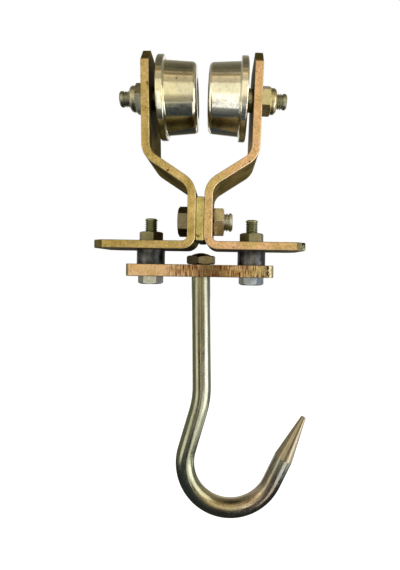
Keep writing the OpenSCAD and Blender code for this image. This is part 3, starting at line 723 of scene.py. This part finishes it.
stage_piece("floor", level((-4, 4), (-4, 4), FLOOR_Z), floor_material())
card("dark_card_left", (-0.45, -0.02), (-0.43, 0.6), CARD_Z, DARK, DARK_GLOW)
card("dark_card_right", (-0.02, 0.10), (-0.64, 0.6), CARD_Z, DARK, DARK_GLOW)
card("dark_card_side", (0.10, 0.45), (-0.17, 0.6), CARD_Z, DARK, DARK_GLOW)
card("grey_card_side", (0.255, 0.45), (-0.17, 0.28), CARD_Z + LAYER, (0.96, 1, 0.98, 1), 1.0)
card("brown_card", (-0.45, 0.45), (0.6, 3.9), CARD_Z, (1, 0.94, 0.78, 1), DARK_GLOW)
card("dark_card_corner", (-0.45, -0.14), (-0.80, -0.43), CARD_Z, DARK, DARK_GLOW)
card("dark_card_near", (-0.10, 0.035), (-0.285, 0.0), NEAR_CARD_Z, DARK, DARK_GLOW)
card("white_card", (-0.14, -0.02), (-0.86, -0.43), CARD_Z, (1, 1, 1, 1), 1.3)
card("dusk_card", (-0.10, -0.02), (-0.285, -0.19), NEAR_CARD_Z + LAYER / 2, DUSK, 0.2)
card("dusk_card_far", (-0.10, -0.02), (-0.19, -0.13), NEAR_CARD_Z + LAYER / 2, DUSK, 0.11)
card("dim_card", (-0.02, 0.10), (-0.86, -0.64), CARD_Z, (1, 0.97, 0.85, 1), 0.5)
wall()
flag("left_flag", -0.45, -0.15, (0.20, 0.20, 0.15, 1))
flag("right_flag", 0.45, 0.0, (0.30, 0.31, 0.32, 1))


# Lamps and world
def area(name, at, towards, size, radiance, color):
    """A rectangular lamp whose face has the same radiance at any size."""
    light = bpy.data.lights.new(name, "AREA")
    light.shape = "RECTANGLE"
    light.size, light.size_y = size
    light.energy = radiance * math.pi * size[0] * size[1]
    light.color = color
    obj = linked(name, light)
    obj.location = at
    obj.rotation_euler = (Vector(towards) - Vector(at)).to_track_quat("-Z", "Y").to_euler()


area("left_strip", (-0.333, -0.29, -0.135), (0.1, -0.05, -0.135), (0.08, 0.57), 0.75, (1.0, 0.98, 0.74))
area("right_softbox", (0.36, -0.175, -0.135), (0, -0.03, -0.135), (0.29, 0.57), 1.4, (0.98, 0.99, 1.0))
area("front_softbox", (0.0, -0.74, 0.62), (0, 0, -0.05), (0.9, 0.4), 0.28, (1.0, 0.93, 0.78))


def front_room(n, up):
    """What the wheels reflect from in front and above: a cream room, then dark and gold bands."""
    return n.ramp(
        up, (0.00, (0.05, 0.06, 0.08, 1)), (0.30, (0.42, 0.38, 0.27, 1)), (0.50, (1.05, 0.98, 0.72, 1)),
        (0.742, (1.05, 0.98, 0.72, 1)), (0.752, (0.26, 0.20, 0.10, 1)), (0.800, (0.25, 0.195, 0.095, 1)),
        (0.835, (0.40, 0.32, 0.17, 1)), (0.862, (0.26, 0.20, 0.095, 1)), (0.889, (0.82, 0.63, 0.35, 1)),
        (0.928, (0.10, 0.08, 0.04, 1)), (0.952, (0.52, 0.44, 0.28, 1)), (0.977, (0.06, 0.05, 0.03, 1)),
        (0.987, (0.22, 0.20, 0.13, 1)), (1.0, (0.07, 0.066, 0.04, 1)))


def side_room(n, up):
    """What is reflected from the sides and from behind: grey, and brightest partway up."""
    return n.ramp(
        up, (0.0, (0.05, 0.055, 0.06, 1)), (0.35, (0.14, 0.14, 0.13, 1)), (0.5, (0.36, 0.35, 0.31, 1)),
        (0.72, (0.52, 0.50, 0.44, 1)), (0.9, (0.30, 0.28, 0.22, 1)), (1.0, (0.13, 0.12, 0.08, 1)))


def studio_world():
    """White to the camera and through glass. Reflections see white behind the object, else a dim room."""
    world = bpy.data.worlds.new("studio")
    bpy.context.scene.world = world
    n = Nodes(world)
    height, behind = n.axis(Z, "Generated"), n.axis(Y, "Generated")
    level_part = n.math("SQRT", n.math("MAXIMUM", n.less(n.product(height, height)), 0.0001))
    to_front = n.product(n.math("DIVIDE", behind, level_part), -1.0)
    up = n.math("MULTIPLY_ADD", height, 0.5, 0.5)
    room = n.mix(n.step(to_front, 0.15, 0.75), side_room(n, up), front_room(n, up))
    backdrop = n.product(n.step(behind, 0.80, 0.88), n.step(height, 0.12, 0.24))
    room = n.mix(backdrop, room, (1, 1, 1, 1))
    rays = n.add("ShaderNodeLightPath").outputs
    seen = n.math("MAXIMUM", rays["Is Camera Ray"], rays["Is Transmission Ray"])
    white = n.add("ShaderNodeBackground", {"Color": (1, 1, 1, 1), "Strength": 1.0})
    walls = n.add("ShaderNodeBackground", {"Color": room, "Strength": 1.0})
    n.surface(n.add("ShaderNodeMixShader", {0: seen, 1: walls.outputs[0], 2: white.outputs[0]}))


studio_world()


# Camera, as fitted to the photo: its place in millimetres, its turns in radians, its picture in pixels
CAMERA_AT = (12.81, -277.04, -84.73)
YAW, PITCH, ROLL = -0.0070, -0.0040, 0.0150
PHOTO_W, PHOTO_H, FOCAL = 400, 570, 427.36
PRINCIPAL_X, PRINCIPAL_Y = 223.81, 266.68
SENSOR = 36


def photo_camera():
    """The photo's view, cropped off centre with the camera's shift."""
    camera = bpy.data.cameras.new("camera")
    camera.sensor_width = SENSOR
    camera.lens = FOCAL * SENSOR / PHOTO_H
    camera.shift_x = (PHOTO_W / 2 - PRINCIPAL_X) / PHOTO_H
    camera.shift_y = (PRINCIPAL_Y - PHOTO_H / 2) / PHOTO_H
    camera.clip_start = 0.01
    level_right = Vector((math.cos(YAW), math.sin(YAW), 0))
    level_ahead = Vector((-math.sin(YAW), math.cos(YAW), 0))
    ahead = level_ahead * math.cos(PITCH) + Vector((0, 0, 1)) * math.sin(PITCH)
    tilted_up = Vector((0, 0, 1)) * math.cos(PITCH) - level_ahead * math.sin(PITCH)
    right = level_right * math.cos(ROLL) + tilted_up * math.sin(ROLL)
    up = tilted_up * math.cos(ROLL) - level_right * math.sin(ROLL)
    place = Matrix((right, up, -ahead)).transposed().to_4x4()
    place.translation = Vector(CAMERA_AT) * MM
    obj = linked("camera", camera)
    obj.matrix_world = place
    bpy.context.scene.camera = obj


photo_camera()
bpy.context.scene.view_settings.view_transform = "Standard"
